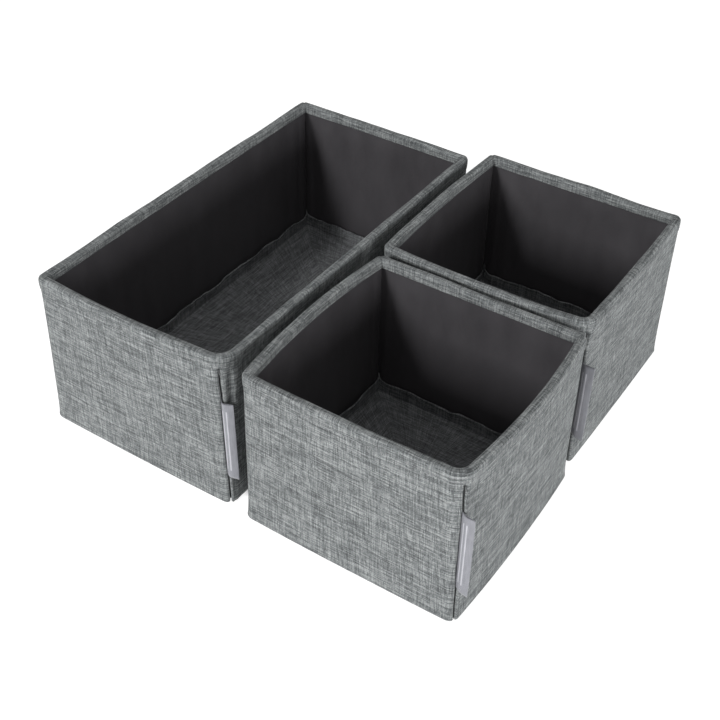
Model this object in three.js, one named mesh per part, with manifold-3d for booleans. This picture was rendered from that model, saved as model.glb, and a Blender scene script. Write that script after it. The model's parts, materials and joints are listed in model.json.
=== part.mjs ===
// A set of three open-top fabric storage boxes: one long box and two short ones beside it.
// Each box has board-stiffened fabric walls, a bound rim, a lining and a loose covered base insert.
// Millimetres, +Z up. +X runs along the front faces and -Y is the front.

import * as THREE from 'three';
import Module from 'manifold-3d';
import { mergeVertices } from 'three/addons/utils/BufferGeometryUtils.js';

const wasm = await Module();
wasm.setup();

// Overall sizes
const longBoxWidth = 129;
const longBoxLength = 249;
const smallBoxWidth = 129;
const smallBoxLength = 128;
const boxHeight = 100;

// Where the boxes stand beside each other
const gapLongToSmallFront = 11.3;
const gapLongToSmallRear = 8.6;
const gapBetweenSmallBoxes = 6.7;
const smallFrontBoxAhead = 2;

// Wall layers, from the outside inwards, and the air left between neighbouring layers
const fabricThickness = 0.6;
const wallBoardThickness = 1.5;
const liningThickness = 0.4;
const layerGap = 0.3;

// Rim binding, folded over the top of the wall
const bindingOuterDepth = 7.5;
const bindingInnerDepth = 5.5;
const bindingRoundness = 1.6;
const rimTuck = 1.2;

// Base: the fabric panel under the box and the covered insert that lies inside
const basePanelThickness = 0.8;
const coverHemRise = 0.3;
const coverHemChamfer = 1.3;
const insertClearance = 0.4;
const insertBoardThickness = 1.8;
const insertBoardPlay = 0.5;
const insertFlangeHeight = 8.8;
const pouchMouthOverrun = 3;

// Woven loop label held in the corner seam
const ribbonThickness = 0.25;
const ribbonFoldGap = 0.2;
const labelHeight = 50;
const labelStraightOut = 1.2;
const labelBendLength = 2.4;
const labelReach = 4.6;

// Mesh fineness
const sideStations = 6;
const cornerSteps = 4;
const labelBendSteps = 4;
const smallestRadius = 0.4;
const cutOverrun = 1;

// Insets of the layer faces from the outside of the rim, and the heights they stand at
const coverOuter = fabricThickness + layerGap;
const coverInner = coverOuter + fabricThickness;
const boardOuter = coverInner + layerGap;
const boardInner = boardOuter + wallBoardThickness;
const liningOuter = boardInner + layerGap;
const liningInner = liningOuter + liningThickness;
const bindingLegInset = liningInner + layerGap;
const rimWidth = bindingLegInset + fabricThickness;
const insertInset = rimWidth + insertClearance;
const insertBoardInset = insertInset + fabricThickness + insertBoardPlay;

const wallTop = boxHeight - fabricThickness - rimTuck;
const wallBottom = basePanelThickness + layerGap;
const liningFloorTop = wallBottom + liningThickness;
const pouchBottom = liningFloorTop + layerGap;
const insertBoardBottom = pouchBottom + fabricThickness + layerGap;
const insertBoardTop = insertBoardBottom + insertBoardThickness;
const pouchTop = insertBoardTop + layerGap + fabricThickness;
const flangeTop = pouchTop + insertFlangeHeight;

// Each wall bows outwards and each corner is rounded as seen from above: [at the bottom edge, at the rim].
// The seam's angle is measured round the front right corner from the front face.
const boxes = [
  {
    name: 'long',
    width: longBoxWidth,
    length: longBoxLength,
    bow: { front: [0.6, 2.2], right: [0, 0], rear: [0, 0.7], left: [0, 0.6] },
    radius: { frontRight: [5, 13], rearRight: [4, 4], rearLeft: [4, 4], frontLeft: [4, 4] },
    seamAngle: THREE.MathUtils.degToRad(35),
    labelBottom: 21.5,
    labelHeading: THREE.MathUtils.degToRad(22),
  },
  {
    name: 'small_front',
    width: smallBoxWidth,
    length: smallBoxLength,
    bow: { front: [0.6, 1.2], right: [1.7, 3.6], rear: [0, 0], left: [0.6, 4.2] },
    radius: { frontRight: [4, 11], rearRight: [5, 5], rearLeft: [4, 4], frontLeft: [4, 4] },
    seamAngle: THREE.MathUtils.degToRad(50),
    labelBottom: 25,
    labelHeading: THREE.MathUtils.degToRad(-7),
  },
  {
    name: 'small_rear',
    width: smallBoxWidth,
    length: smallBoxLength,
    bow: { front: [0, 2.4], right: [0.3, 0.6], rear: [0, 0], left: [0, 1.8] },
    radius: { frontRight: [4, 9], rearRight: [5, 5], rearLeft: [4, 4], frontLeft: [4, 4] },
    seamAngle: THREE.MathUtils.degToRad(50),
    labelBottom: 22.5,
    labelHeading: 0,
  },
];

const smallFrontY = smallBoxLength / 2 - longBoxLength / 2 - smallFrontBoxAhead;
const boxPlaces = {
  long: [0, 0],
  small_front: [(longBoxWidth + smallBoxWidth) / 2 + gapLongToSmallFront, smallFrontY],
  small_rear: [
    (longBoxWidth + smallBoxWidth) / 2 + gapLongToSmallRear,
    smallFrontY + smallBoxLength + gapBetweenSmallBoxes,
  ],
};

const fabricMaterial = (color) => new THREE.MeshStandardMaterial({ color, roughness: 0.95, metalness: 0 });
const materials = {
  outer: fabricMaterial('#8a8f90'),
  binding: fabricMaterial('#7f8485'),
  lining: new THREE.MeshStandardMaterial({ color: '#39373a', roughness: 0.55, metalness: 0 }),
  insert: fabricMaterial('#74777a'),
  base: fabricMaterial('#3b3c3e'),
  board: new THREE.MeshStandardMaterial({ color: '#a98f6b', roughness: 0.9, metalness: 0 }),
  label: new THREE.MeshStandardMaterial({ color: '#b1b2ba', roughness: 0.5, metalness: 0 }),
};

// The four sides in order round the box: outward direction and the corner that follows each
const sides = [
  { name: 'front', outward: [0, -1], along: [1, 0], before: 'frontLeft', after: 'frontRight' },
  { name: 'right', outward: [1, 0], along: [0, 1], before: 'frontRight', after: 'rearRight' },
  { name: 'rear', outward: [0, 1], along: [-1, 0], before: 'rearRight', after: 'rearLeft' },
  { name: 'left', outward: [-1, 0], along: [0, -1], before: 'rearLeft', after: 'frontLeft' },
];

const isFrontOrRear = (side) => side.outward[0] === 0;
const halfAlong = (box, side) => (isFrontOrRear(side) ? box.width : box.length) / 2;
const halfAcross = (box, side) => (isFrontOrRear(side) ? box.length : box.width) / 2;

// A point beside a wall: `along` runs from the wall's middle, `across` is the distance from the box's middle
function sidePoint(side, along, across) {
  return [
    side.along[0] * along + side.outward[0] * across,
    side.along[1] * along + side.outward[1] * across,
  ];
}

// A size that changes evenly from the bottom edge to the rim
const atHeight = ([low, high], height) => low + (high - low) * (height / boxHeight);

// Where a wall's own run starts and ends between its corners, measured from its middle
function wallRun(box, side, height) {
  const from = -halfAlong(box, side) + atHeight(box.radius[side.before], height);
  const to = halfAlong(box, side) - atHeight(box.radius[side.after], height);
  return [from, to];
}

// How far a wall bows out from its straight line, fading to nothing where the corners begin
function bowAt(box, side, along, height) {
  const [from, to] = wallRun(box, side, height);
  const share = THREE.MathUtils.clamp((2 * along - from - to) / (to - from), -1, 1);
  return atHeight(box.bow[side.name], height) * (1 - share * share);
}

function stationsAlong(box, side, height) {
  const [from, to] = wallRun(box, side, height);
  const stations = [];
  for (let i = 0; i < sideStations; i += 1) {
    stations.push(from + ((to - from) * (i + 0.5)) / sideStations);
  }
  return stations;
}

function cornerPoints(box, side, inset, height) {
  const radius = Math.max(atHeight(box.radius[side.after], height) - inset, smallestRadius);
  const centreAlong = halfAlong(box, side) - inset - radius;
  const centreAcross = halfAcross(box, side) - inset - radius;
  const points = [];
  for (let step = 0; step <= cornerSteps; step += 1) {
    const turn = (step / cornerSteps) * (Math.PI / 2);
    const along = centreAlong + radius * Math.sin(turn);
    const across = centreAcross + radius * Math.cos(turn);
    points.push(sidePoint(side, along, across));
  }
  return points;
}

// The box's plan outline, inset from the outside of the rim, anticlockwise from the front left corner
function outline(box, inset, height) {
  const points = [];
  for (const side of sides) {
    for (const along of stationsAlong(box, side, height)) {
      const across = halfAcross(box, side) - inset + bowAt(box, side, along, height);
      points.push(sidePoint(side, along, across));
    }
    points.push(...cornerPoints(box, side, inset, height));
  }
  return points.map(([x, y]) => [x, y, height]);
}

function geometryFrom(vertices, triangles) {
  const geometry = new THREE.BufferGeometry();
  geometry.setAttribute('position', new THREE.Float32BufferAttribute(vertices.flat(), 3));
  geometry.setIndex(triangles.flat());
  geometry.computeVertexNormals();
  return geometry;
}

// Triangles between row `a` and row `b` of points. A bowed wall's quads are twisted, so their diagonals
// always climb the same way, and neighbouring layers facet alike.
function bandTriangles(a, b, count, { climbs, closed = true }) {
  const triangles = [];
  for (let i = 0; i < (closed ? count : count - 1); i += 1) {
    const next = (i + 1) % count;
    if (climbs) {
      triangles.push([a + i, a + next, b + next], [a + i, b + next, b + i]);
    } else {
      triangles.push([a + i, a + next, b + i], [a + next, b + next, b + i]);
    }
  }
  return triangles;
}

const climbsFrom = (levels, j) => levels[(j + 1) % levels.length][1] >= levels[j][1];

// A closed ring round the box whose section is a list of [inset, height], read up the outer face first
function ringSolid(box, section) {
  const rings = section.map(([inset, height]) => outline(box, inset, height));
  const count = rings[0].length;
  const triangles = section.flatMap((level, j) => {
    const nextRing = (j + 1) % rings.length;
    return bandTriangles(j * count, nextRing * count, count, { climbs: climbsFrom(section, j) });
  });
  return geometryFrom(rings.flat(), triangles);
}

// A solid that runs through [inset, height] outlines and is closed by a flat cap on the first and last
function cappedSolid(box, levels) {
  const rings = levels.map(([inset, height]) => outline(box, inset, height));
  const count = rings[0].length;
  const vertices = rings.flat();
  const triangles = [];
  for (let j = 0; j + 1 < rings.length; j += 1) {
    triangles.push(...bandTriangles(j * count, (j + 1) * count, count, { climbs: climbsFrom(levels, j) }));
  }
  const lastRing = (rings.length - 1) * count;
  const firstCentre = vertices.push([0, 0, levels[0][1]]) - 1;
  const lastCentre = vertices.push([0, 0, levels.at(-1)[1]]) - 1;
  for (let i = 0; i < count; i += 1) {
    const next = (i + 1) % count;
    triangles.push([firstCentre, next, i], [lastCentre, lastRing + i, lastRing + next]);
  }
  return geometryFrom(vertices, triangles);
}

function toManifold(geometry) {
  const bare = geometry.clone();
  bare.deleteAttribute('normal');
  if (bare.getAttribute('uv')) {
    bare.deleteAttribute('uv');
  }
  const merged = mergeVertices(bare);
  return new wasm.Manifold(new wasm.Mesh({
    numProp: 3,
    vertProperties: new Float32Array(merged.getAttribute('position').array),
    triVerts: new Uint32Array(merged.getIndex().array),
  }));
}

function fromManifold(solid) {
  const { vertProperties, triVerts } = solid.getMesh();
  const geometry = new THREE.BufferGeometry();
  geometry.setAttribute('position', new THREE.Float32BufferAttribute(vertProperties, 3));
  geometry.setIndex(Array.from(triVerts));
  geometry.computeVertexNormals();
  return geometry;
}

const cut = (geometry, tool) => fromManifold(toManifold(geometry).subtract(toManifold(tool)));

const unitVector = (angle) => new THREE.Vector2(Math.cos(angle), Math.sin(angle));

// Radius and centre of the seam corner's curve at a height, and the direction that the seam faces
function seamFrame(box, height) {
  const radius = atHeight(box.radius.frontRight, height);
  return {
    radius,
    centre: new THREE.Vector2(box.width / 2 - radius, radius - box.length / 2),
    heading: box.seamAngle - Math.PI / 2,
  };
}

// The point of the rim's outline where the seam lies, carried down to a height
function seamPoint(box, height) {
  const { radius, centre, heading } = seamFrame(box, height);
  return unitVector(heading).multiplyScalar(radius).add(centre);
}

// Leans a shape that was made at the bottom edge, so that it follows the seam up the corner
function leanWithSeam(box, geometry) {
  const foot = seamPoint(box, 0);
  const position = geometry.getAttribute('position');
  for (let i = 0; i < position.count; i += 1) {
    const shift = seamPoint(box, position.getZ(i)).sub(foot);
    position.setXY(i, position.getX(i) + shift.x, position.getY(i) + shift.y);
  }
  return geometry;
}

// Outer fabric sleeve, open along the corner seam where its two ends meet
function outerCover(box) {
  const sleeve = ringSolid(box, [
    [coverOuter + fabricThickness / 2, coverHemRise],
    [coverOuter, coverHemRise + coverHemChamfer],
    [coverOuter, wallTop],
    [coverInner, wallTop],
    [coverInner, coverHemRise],
  ]);
  const { radius, centre, heading } = seamFrame(box, 0);
  const slotWidth = 2 * (ribbonThickness + layerGap) + ribbonFoldGap;
  const slotFrom = radius - coverInner - cutOverrun;
  const slotTo = radius - coverOuter + cutOverrun;
  const slot = new THREE.BoxGeometry(slotTo - slotFrom, slotWidth, boxHeight + 2 * cutOverrun);
  const middle = unitVector(heading).multiplyScalar((slotFrom + slotTo) / 2).add(centre);
  slot.rotateZ(heading);
  slot.translate(middle.x, middle.y, boxHeight / 2);
  return cut(sleeve, leanWithSeam(box, slot));
}

// Binding strip folded over the rim: outer leg, rounded top and a deeper inner leg
function rimBinding(box) {
  const outerFoot = boxHeight - bindingOuterDepth;
  const innerFoot = boxHeight - bindingInnerDepth;
  const ease = bindingRoundness * (1 - Math.SQRT1_2);
  const underside = boxHeight - fabricThickness;
  const innerRoundness = bindingRoundness - fabricThickness;
  return ringSolid(box, [
    [0, outerFoot],
    [0, boxHeight - bindingRoundness],
    [ease, boxHeight - ease],
    [bindingRoundness, boxHeight],
    [rimWidth - bindingRoundness, boxHeight],
    [rimWidth - ease, boxHeight - ease],
    [rimWidth, boxHeight - bindingRoundness],
    [rimWidth, innerFoot],
    [bindingLegInset, innerFoot],
    [bindingLegInset, underside - innerRoundness],
    [bindingLegInset - innerRoundness, underside],
    [fabricThickness + innerRoundness, underside],
    [fabricThickness, underside - innerRoundness],
    [fabricThickness, outerFoot],
  ]);
}

// Lining bag: four walls and a floor
function lining(box) {
  return cappedSolid(box, [
    [liningOuter, wallBottom],
    [liningOuter, wallTop],
    [liningInner, wallTop],
    [liningInner, liningFloorTop],
  ]);
}

function basePanel(box) {
  return cappedSolid(box, [[boardOuter, 0], [boardOuter, basePanelThickness]]);
}

// Stiffening board inside one wall, following that wall's bow
function wallBoard(box, side) {
  const farthest = halfAlong(box, side) - boardInner - layerGap;
  const section = [
    [boardOuter, wallBottom],
    [boardOuter, wallTop],
    [boardInner, wallTop],
    [boardInner, wallBottom],
  ];
  const rows = section.map(([inset, height]) => {
    const [from, to] = wallRun(box, side, height);
    const alongs = [Math.max(from, -farthest), ...stationsAlong(box, side, height), Math.min(to, farthest)];
    return alongs.map((along) => {
      const across = halfAcross(box, side) - inset + bowAt(box, side, along, height);
      return [...sidePoint(side, along, across), height];
    });
  });
  const count = rows[0].length;
  const triangles = section.flatMap((level, j) => {
    const nextRow = (j + 1) % section.length;
    const climbs = climbsFrom(section, j);
    return bandTriangles(j * count, nextRow * count, count, { climbs, closed: false });
  });
  const last = count - 1;
  triangles.push([0, count, 2 * count], [0, 2 * count, 3 * count]);
  triangles.push([last, last + 2 * count, last + count], [last, last + 3 * count, last + 2 * count]);
  return geometryFrom(rows.flat(), triangles);
}

// The insert has the bottom edge's bow and the rim's corners over its whole height, so it lifts straight out
function floorShape(box) {
  const lowBows = Object.entries(box.bow).map(([side, [low]]) => [side, [low, low]]);
  const highRadii = Object.entries(box.radius).map(([corner, [, high]]) => [corner, [high, high]]);
  const bow = Object.fromEntries(lowBows);
  const radius = Object.fromEntries(highRadii);
  return { ...box, bow, radius };
}

// Fabric pouch round the insert board, open at the rear, with its seam flange turned up the walls
function insertCover(box) {
  const shape = floorShape(box);
  const tray = cappedSolid(shape, [
    [insertInset, pouchBottom],
    [insertInset, flangeTop],
    [insertInset + fabricThickness, flangeTop],
    [insertInset + fabricThickness, pouchTop],
  ]);
  const pocketInset = insertInset + fabricThickness;
  const pocket = cappedSolid({ ...shape, length: shape.length + pouchMouthOverrun }, [
    [pocketInset, pouchBottom + fabricThickness],
    [pocketInset, pouchTop - fabricThickness],
  ]);
  pocket.translate(0, pouchMouthOverrun / 2, 0);
  return cut(tray, pocket);
}

function insertBoard(box) {
  return cappedSolid(floorShape(box), [
    [insertBoardInset, insertBoardBottom],
    [insertBoardInset, insertBoardTop],
  ]);
}

// Stations along the folded ribbon: out through the seam, round a bend, then straight to the fold
function ribbonStations(box) {
  const { radius, centre, heading } = seamFrame(box, 0);
  const stations = [];
  const point = unitVector(heading).multiplyScalar(radius - liningOuter + layerGap).add(centre);
  let angle = heading;
  const advance = (distance) => {
    const across = unitVector(angle + Math.PI / 2);
    stations.push({ point: point.clone(), across, ahead: unitVector(angle) });
    point.addScaledVector(unitVector(angle), distance);
  };
  advance(liningOuter - layerGap - coverOuter + labelStraightOut);
  for (let step = 0; step < labelBendSteps; step += 1) {
    angle = heading + ((box.labelHeading - heading) * (step + 0.5)) / labelBendSteps;
    advance(labelBendLength / labelBendSteps);
  }
  angle = box.labelHeading;
  advance(labelReach);
  advance(0);
  return stations;
}

// One face of the folded ribbon in plan, at a distance to either side of its middle line
function ribbonFace(stations, distance) {
  const tip = stations.at(-1);
  const near = stations.map(({ point, across }) => point.clone().addScaledVector(across, distance));
  const far = stations.map(({ point, across }) => point.clone().addScaledVector(across, -distance)).reverse();
  return [...near, tip.point.clone().addScaledVector(tip.ahead, distance), ...far];
}

// Ribbon folded back on itself at its outer edge, with both ends caught in the corner seam
function label(box) {
  const stations = ribbonStations(box);
  const outerFace = ribbonFace(stations, ribbonFoldGap / 2 + ribbonThickness);
  const innerFace = ribbonFace(stations, ribbonFoldGap / 2).reverse();
  const plan = new THREE.Shape([...outerFace, ...innerFace]);
  const ribbon = new THREE.ExtrudeGeometry(plan, { depth: labelHeight, bevelEnabled: false });
  ribbon.translate(0, 0, box.labelBottom);
  return leanWithSeam(box, ribbon);
}

function namedMesh(name, geometry, material) {
  const mesh = new THREE.Mesh(geometry, material);
  mesh.name = name;
  return mesh;
}

function storageBox(box) {
  const assembly = new THREE.Group();
  const add = (piece, geometry, material) => {
    assembly.add(namedMesh(`${box.name}_${piece}`, geometry, material));
  };
  add('outer_cover', outerCover(box), materials.outer);
  add('rim_binding', rimBinding(box), materials.binding);
  add('lining', lining(box), materials.lining);
  add('base_panel', basePanel(box), materials.base);
  for (const side of sides) {
    add(`${side.name}_board`, wallBoard(box, side), materials.board);
  }
  add('insert_cover', insertCover(box), materials.insert);
  add('insert_board', insertBoard(box), materials.board);
  add('label', label(box), materials.label);
  const [x, y] = boxPlaces[box.name];
  assembly.position.set(x, y, 0);
  return assembly;
}

// The set's origin is the middle of its footprint, at the height it stands on
const set = new THREE.Group();
for (const box of boxes) {
  set.add(storageBox(box));
}
set.updateMatrixWorld(true);
const footprint = new THREE.Box3().setFromObject(set, true);
const middle = footprint.getCenter(new THREE.Vector3());
set.position.set(-middle.x, -middle.y, -footprint.min.z);
set.updateMatrixWorld(true);

export default set;
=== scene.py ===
"""Looks for a set of three open-top fabric storage boxes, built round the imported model.

Lengths are in millimetres until a mesh is made, and each box's own pieces are worked out about its middle.
An inset is a distance inwards from the outside of the rim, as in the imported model.
The stage, the lights and the camera are in metres.
"""

import json
import math
import random

import bpy
import numpy as np
from mathutils import Matrix, Vector


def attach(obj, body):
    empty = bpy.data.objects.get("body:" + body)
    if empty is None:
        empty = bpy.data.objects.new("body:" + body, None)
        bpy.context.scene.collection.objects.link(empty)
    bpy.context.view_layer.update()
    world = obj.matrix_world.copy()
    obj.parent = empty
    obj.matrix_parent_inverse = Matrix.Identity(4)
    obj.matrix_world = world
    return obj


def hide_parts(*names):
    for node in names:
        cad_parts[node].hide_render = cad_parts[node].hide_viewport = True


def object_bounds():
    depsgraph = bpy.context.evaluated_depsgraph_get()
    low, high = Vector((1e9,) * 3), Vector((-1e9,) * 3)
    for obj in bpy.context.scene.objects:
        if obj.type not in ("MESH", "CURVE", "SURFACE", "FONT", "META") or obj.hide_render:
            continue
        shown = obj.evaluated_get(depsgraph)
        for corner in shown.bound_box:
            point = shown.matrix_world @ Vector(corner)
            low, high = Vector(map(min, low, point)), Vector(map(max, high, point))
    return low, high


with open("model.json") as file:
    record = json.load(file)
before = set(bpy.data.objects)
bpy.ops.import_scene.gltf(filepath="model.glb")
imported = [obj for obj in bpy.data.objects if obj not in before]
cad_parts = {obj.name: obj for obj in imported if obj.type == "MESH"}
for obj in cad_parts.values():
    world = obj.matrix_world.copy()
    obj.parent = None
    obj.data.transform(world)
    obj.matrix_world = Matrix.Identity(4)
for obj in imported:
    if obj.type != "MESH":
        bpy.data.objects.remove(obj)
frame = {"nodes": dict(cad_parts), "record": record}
cad_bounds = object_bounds()

MM = 0.001
HEIGHT = 100.0
SMALLEST_RADIUS = 0.4
CLOTH = 0.4  # thickness of the woven fabric
LINING_CLOTH = 0.25

# bow is how far a side's middle stands out and radius is a corner's, each at the bottom edge and at the rim;
# lean is how far the cover stands out at the foot of a side, and tuck how deep it dips beside the seam
BOXES = {
    "long": {
        "width": 129.0,
        "length": 249.0,
        "bow": {"front": (0.6, 2.2), "right": (0.0, 0.0), "rear": (0.0, 0.7), "left": (0.0, 0.6)},
        "radius": {"front_right": (5.0, 13.0), "rear_right": (4.0, 4.0), "rear_left": (4.0, 4.0),
                   "front_left": (4.0, 4.0)},
        "seam_angle": math.radians(35),
        "label_bottom": 21.5,
        "label_heading": math.radians(22),
        "lean": {"front": 1.3, "right": 0.0, "rear": 0.6, "left": 1.8},
        "tuck": 1.3,
        "seed": 11,
    },
    "small_front": {
        "width": 129.0,
        "length": 128.0,
        "bow": {"front": (0.6, 1.2), "right": (1.7, 3.6), "rear": (0.0, 0.0), "left": (0.6, 4.2)},
        "radius": {"front_right": (4.0, 11.0), "rear_right": (5.0, 5.0), "rear_left": (4.0, 4.0),
                   "front_left": (4.0, 4.0)},
        "seam_angle": math.radians(50),
        "label_bottom": 25.0,
        "label_heading": math.radians(-7),
        "lean": {"front": 1.2, "right": 0.8, "rear": 0.0, "left": 0.3},
        "tuck": 0.4,
        "seed": 23,
    },
    "small_rear": {
        "width": 129.0,
        "length": 128.0,
        "bow": {"front": (0.0, 2.4), "right": (0.3, 0.6), "rear": (0.0, 0.0), "left": (0.0, 1.8)},
        "radius": {"front_right": (4.0, 9.0), "rear_right": (5.0, 5.0), "rear_left": (4.0, 4.0),
                   "front_left": (4.0, 4.0)},
        "seam_angle": math.radians(50),
        "label_bottom": 22.5,
        "label_heading": 0.0,
        "lean": {"front": 0.0, "right": 0.8, "rear": 0.6, "left": 0.3},
        "tuck": 0.4,
        "seed": 37,
    },
}

# name, outward direction, direction along the wall, corner before it and corner after it, anticlockwise
SIDES = (
    ("front", (0, -1), (1, 0), "front_left", "front_right"),
    ("right", (1, 0), (0, 1), "front_right", "rear_right"),
    ("rear", (0, 1), (-1, 0), "rear_right", "rear_left"),
    ("left", (-1, 0), (0, -1), "rear_left", "front_left"),
)

MOUNTS = {m["name"]: m["pos_m"] for m in frame["record"]["mounts"]}


def box_centre(name):
    """Middle of a box's footprint, in metres: the record's base mount is there."""
    x, y, _ = MOUNTS[f"{name}_box_base"]
    return np.array([x, y, 0.0])


# ---------------------------------------------------------------- plan outline


def at_height(size, height):
    """A (bottom edge, rim) pair read at a height."""
    low, high = size
    return low + (high - low) * height / HEIGHT


class Plan:
    """A box's outline from above, sampled anticlockwise from its corner seam."""

    def __init__(self, box, side_step=2.0, arc_step=0.8):
        self.box = box
        rows = []

        def arc(k, start, end):
            radius = max(box["radius"][SIDES[k][4]])
            steps = max(3, math.ceil(radius * (end - start) / arc_step))
            rows.extend((k, True, 0.0, t) for t in np.linspace(start, end, steps, endpoint=False))

        def side(k):
            length = box["width"] if SIDES[k][1][0] == 0 else box["length"]
            steps = math.ceil(length / side_step)
            rows.extend((k, False, share, 0.0) for share in np.linspace(-1, 1, steps, endpoint=False))

        arc(0, box["seam_angle"], math.pi / 2)
        for k in (1, 2, 3):
            side(k)
            arc(k, 0.0, math.pi / 2)
        side(0)
        arc(0, 0.0, box["seam_angle"])

        self.side = np.array([r[0] for r in rows])
        self.is_arc = np.array([r[1] for r in rows])
        self.share = np.where(self.is_arc, 1.0, [r[2] for r in rows])
        self.turn = np.array([r[3] for r in rows])
        self.count = len(rows)
        self.out_dir = np.array([SIDES[k][1] for k in self.side], float)
        self.along_dir = np.array([SIDES[k][2] for k in self.side], float)
        halves = [(box["width"], box["length"]) if SIDES[k][1][0] == 0 else (box["length"], box["width"])
                  for k in self.side]
        self.half_along = np.array([h[0] / 2 for h in halves])
        self.half_across = np.array([h[1] / 2 for h in halves])
        self.radius_before = np.array([box["radius"][SIDES[k][3]] for k in self.side])
        self.radius_after = np.array([box["radius"][SIDES[k][4]] for k in self.side])
        self.sagitta = np.array([box["bow"][SIDES[k][0]] for k in self.side])
        turned = np.where(self.is_arc, self.turn, 0.0)
        self.normal = self.out_dir * np.cos(turned)[:, None] + self.along_dir * np.sin(turned)[:, None]
        ring = self.at(0.0, HEIGHT / 2)[:, :2]
        steps = np.linalg.norm(np.roll(ring, -1, axis=0) - ring, axis=1)
        self.u = np.concatenate([[0.0], np.cumsum(steps)[:-1]])
        self.around = float(steps.sum())

    def at(self, inset, height, low_bow=False, top_corners=False):
        """Points of the outline at an inset and a height, which may differ from sample to sample.

        low_bow keeps the bottom edge's bow, and top_corners the rim's corner radii, whatever the height."""
        inset = np.broadcast_to(np.asarray(inset, float), self.count)
        height = np.broadcast_to(np.asarray(height, float), self.count)
        level = np.full(self.count, HEIGHT) if top_corners else height
        before = np.maximum(at_height(self.radius_before.T, level) - inset, SMALLEST_RADIUS)
        after = np.maximum(at_height(self.radius_after.T, level) - inset, SMALLEST_RADIUS)
        bow = at_height(self.sagitta.T, 0.0 * height if low_bow else height) * (1 - self.share**2)
        start, end = before + inset - self.half_along, self.half_along - inset - after
        straight = (start + end + self.share * (end - start)) / 2
        along = np.where(self.is_arc, end + after * np.sin(self.turn), straight)
        across = self.half_across - inset + np.where(self.is_arc, after * (np.cos(self.turn) - 1), bow)
        flat = self.along_dir * along[:, None] + self.out_dir * across[:, None]
        return np.column_stack([flat, height])

    def per_side(self, values):
        """A value for each side, carried smoothly round the corners."""
        here = np.array([values[SIDES[k][0]] for k in self.side])
        after = np.array([values[SIDES[(k + 1) % 4][0]] for k in self.side])
        share = np.where(self.is_arc, self.turn / (math.pi / 2), 0.0)
        return here + (after - here) * share

    def at_distance(self, values, u):
        """Values given per sample, read at distances u round the outline."""
        wrapped = np.append(self.u, self.around)
        closed = np.vstack([values, values[:1]])
        return np.column_stack([np.interp(u % self.around, wrapped, column) for column in closed.T])

    def corner_distances(self):
        """Distances round the outline to the middle of each tight corner."""
        found = {}
        for k in (1, 2, 3):
            inside = self.is_arc & (self.side == k)
            found[SIDES[k][4]] = float(self.u[inside].mean())
        return found

    def waves(self, rows, seed, size, up, amount, count=14):
        """Smooth irregular waves over the wall, about `size` mm long round it and `up` mm up it."""
        rng = np.random.default_rng(seed)
        total = np.zeros((len(rows), self.count))
        heights = np.asarray(rows, float)[:, None]
        for _ in range(count):
            turns = max(1, round(self.around / size * rng.uniform(0.5, 1.5)))
            rise = rng.uniform(-1, 1) / up
            phase = rng.uniform(0, 2 * math.pi)
            total += np.sin(2 * math.pi * (turns * self.u[None, :] / self.around + rise * heights) + phase)
        return amount * total / math.sqrt(count)


# ---------------------------------------------------------------- meshes


def link_piece(name, mesh):
    piece = bpy.data.objects.new(name, mesh)
    bpy.context.scene.collection.objects.link(piece)
    return piece


def grid_piece(name, rows, u, v, centre, close_round=False, cap_last=False):
    """A mesh of a grid of points, rows[j][i], mapped along u (one value per i) and v (one per j).

    close_round joins the last column to the first, so u has one more value; cap_last closes the last row."""
    rows = [np.asarray(r, float) for r in rows]
    count = len(rows[0])
    points = np.vstack(rows) * MM + centre
    faces, maps = [], []
    for j in range(len(rows) - 1):
        a, b = j * count, (j + 1) * count
        low, high = v[j], v[j + 1]
        for i in range(count if close_round else count - 1):
            n = (i + 1) % count
            faces.append((a + i, a + n, b + n, b + i))
            maps.append(((u[i], low), (u[i + 1], low), (u[i + 1], high), (u[i], high)))
    if cap_last:
        last = (len(rows) - 1) * count
        faces.append(tuple(range(last, last + count)))
        maps.append(tuple(tuple(corner) for corner in rows[-1][:, :2]))
    mesh = bpy.data.meshes.new(name)
    mesh.from_pydata([tuple(p) for p in points], [], faces)
    layer = mesh.uv_layers.new(name="WeaveMap")
    flat_map = np.array([c for face in maps for c in face], float) * MM
    layer.uv.foreach_set("vector", flat_map.ravel())
    mesh.polygons.foreach_set("use_smooth", [True] * len(mesh.polygons))
    mesh.validate()
    return link_piece(name, mesh)


def thicken(piece, thickness):
    """Gives a sheet its thickness about its middle surface and keeps the result as its mesh."""
    solid = piece.modifiers.new("thickness", "SOLIDIFY")
    solid.thickness = thickness * MM
    solid.offset = 0.0
    solid.use_even_offset = False
    graph = bpy.context.evaluated_depsgraph_get()
    made = bpy.data.meshes.new_from_object(piece.evaluated_get(graph), depsgraph=graph)
    old = piece.data
    name = old.name
    piece.modifiers.clear()
    piece.data = made
    bpy.data.meshes.remove(old)
    made.name = name


def join(target, other):
    """Joins the other's mesh into the target piece."""
    for o in bpy.context.selected_objects:
        o.select_set(False)
    for o in (target, other):
        o.select_set(True)
    bpy.context.view_layer.objects.active = target
    bpy.ops.object.join()


def running_length(section):
    """Distance along a list of (inset, height) points, from its first."""
    section = np.asarray(section, float)
    steps = np.linalg.norm(np.diff(section, axis=0), axis=1)
    return np.concatenate([[0.0], np.cumsum(steps)])


def arc_section(centre, radius, start, end, steps):
    """(inset, height) points on an arc, angles in degrees from +inset towards +height."""
    angles = np.radians(np.linspace(start, end, steps))
    return [(centre[0] + radius * math.cos(a), centre[1] + radius * math.sin(a)) for a in angles]


# ---------------------------------------------------------------- materials


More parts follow.
